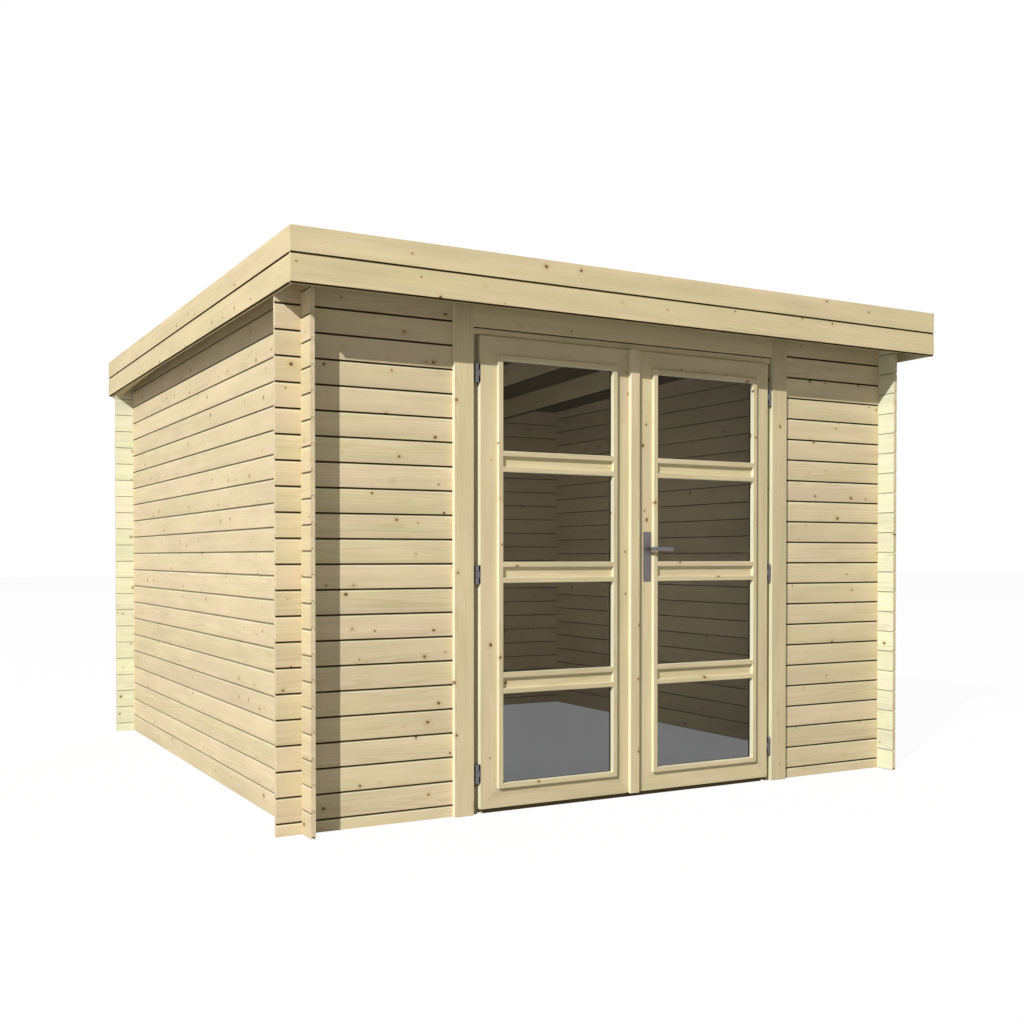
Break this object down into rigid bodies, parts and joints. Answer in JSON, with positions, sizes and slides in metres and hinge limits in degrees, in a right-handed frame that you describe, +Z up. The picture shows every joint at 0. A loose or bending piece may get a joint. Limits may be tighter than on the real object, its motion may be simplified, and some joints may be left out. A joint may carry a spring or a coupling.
{
  "type": "garden shed",
  "caption": "Log-built garden shed with a flat box fascia, crossing log ends and a glazed double door that opens outward on butt hinges.",
  "frame": {"origin": "on the ground under the middle of the roof outline", "axes": "+Z up, the door side faces -Y, +X runs along the front to the right as seen from outside"},
  "size_m": [3.154, 3.372, 2.1739],
  "materials": {
    "spruce_logs": "planed untreated spruce",
    "spruce_boards": "planed untreated spruce",
    "spruce_joinery": "smooth planed spruce",
    "roof_timber": "sawn spruce",
    "roofing_felt": "mineral-surfaced bitumen felt",
    "tinted_glass": "clear grey-tinted sheet glass",
    "satin_steel": "satin grey metal"
  },
  "bodies": {
    "shed": {"front_wall_left": "spruce_logs", "front_wall_right": "spruce_logs", "front_wall_lintel": "spruce_logs", "rear_wall": "spruce_logs", "left_side_wall": "spruce_logs", "right_side_wall": "spruce_logs", "roof_deck": "roof_timber", "roof_felt": "roofing_felt", "roof_beam_1": "roof_timber", "roof_beam_2": "roof_timber", "roof_beam_3": "roof_timber", "roof_beam_4": "roof_timber", "front_batten": "roof_timber", "rear_batten": "roof_timber", "left_batten": "roof_timber", "right_batten": "roof_timber", "front_fascia_lower": "spruce_boards", "front_fascia_upper": "spruce_boards", "left_fascia_lower": "spruce_boards", "left_fascia_upper": "spruce_boards", "right_fascia_lower": "spruce_boards", "right_fascia_upper": "spruce_boards", "rear_eaves_board": "spruce_boards", "door_post_left": "spruce_joinery", "door_post_right": "spruce_joinery", "door_head": "spruce_joinery", "door_threshold": "spruce_joinery", "door_trim_left": "spruce_joinery", "door_trim_right": "spruce_joinery", "door_head_board": "spruce_joinery", "inner_door_trim": "spruce_joinery", "frame_hinges_left": "satin_steel", "frame_hinges_right": "satin_steel"},
    "left_leaf": {"left_leaf_frame": "spruce_joinery", "left_leaf_glass": "tinted_glass", "left_leaf_beads": "spruce_joinery", "left_leaf_hinges": "satin_steel", "cover_strip": "spruce_joinery"},
    "right_leaf": {"right_leaf_frame": "spruce_joinery", "right_leaf_glass": "tinted_glass", "right_leaf_beads": "spruce_joinery", "right_leaf_hinges": "satin_steel", "outer_handle_plate": "satin_steel", "inner_handle_plate": "satin_steel"},
    "lever": {"door_lever": "satin_steel"}
  },
  "joints": [
    {"name": "left_leaf_hinge", "type": "hinge", "parent": "shed", "child": "left_leaf", "pos_m": [-0.75, -1.48, 0.96], "axis": [0, 0, -1], "range_deg": [0, 110]},
    {"name": "right_leaf_hinge", "type": "hinge", "parent": "shed", "child": "right_leaf", "pos_m": [0.75, -1.48, 0.96], "axis": [0, 0, 1], "range_deg": [0, 110]},
    {"name": "lever_turn", "type": "hinge", "parent": "right_leaf", "child": "lever", "pos_m": [0.068, -1.485, 1.057], "axis": [0, 1, 0], "range_deg": [0, 40], "stiffness_Nm_per_rad": 1.5, "springref_deg": -28.65}
  ]
}
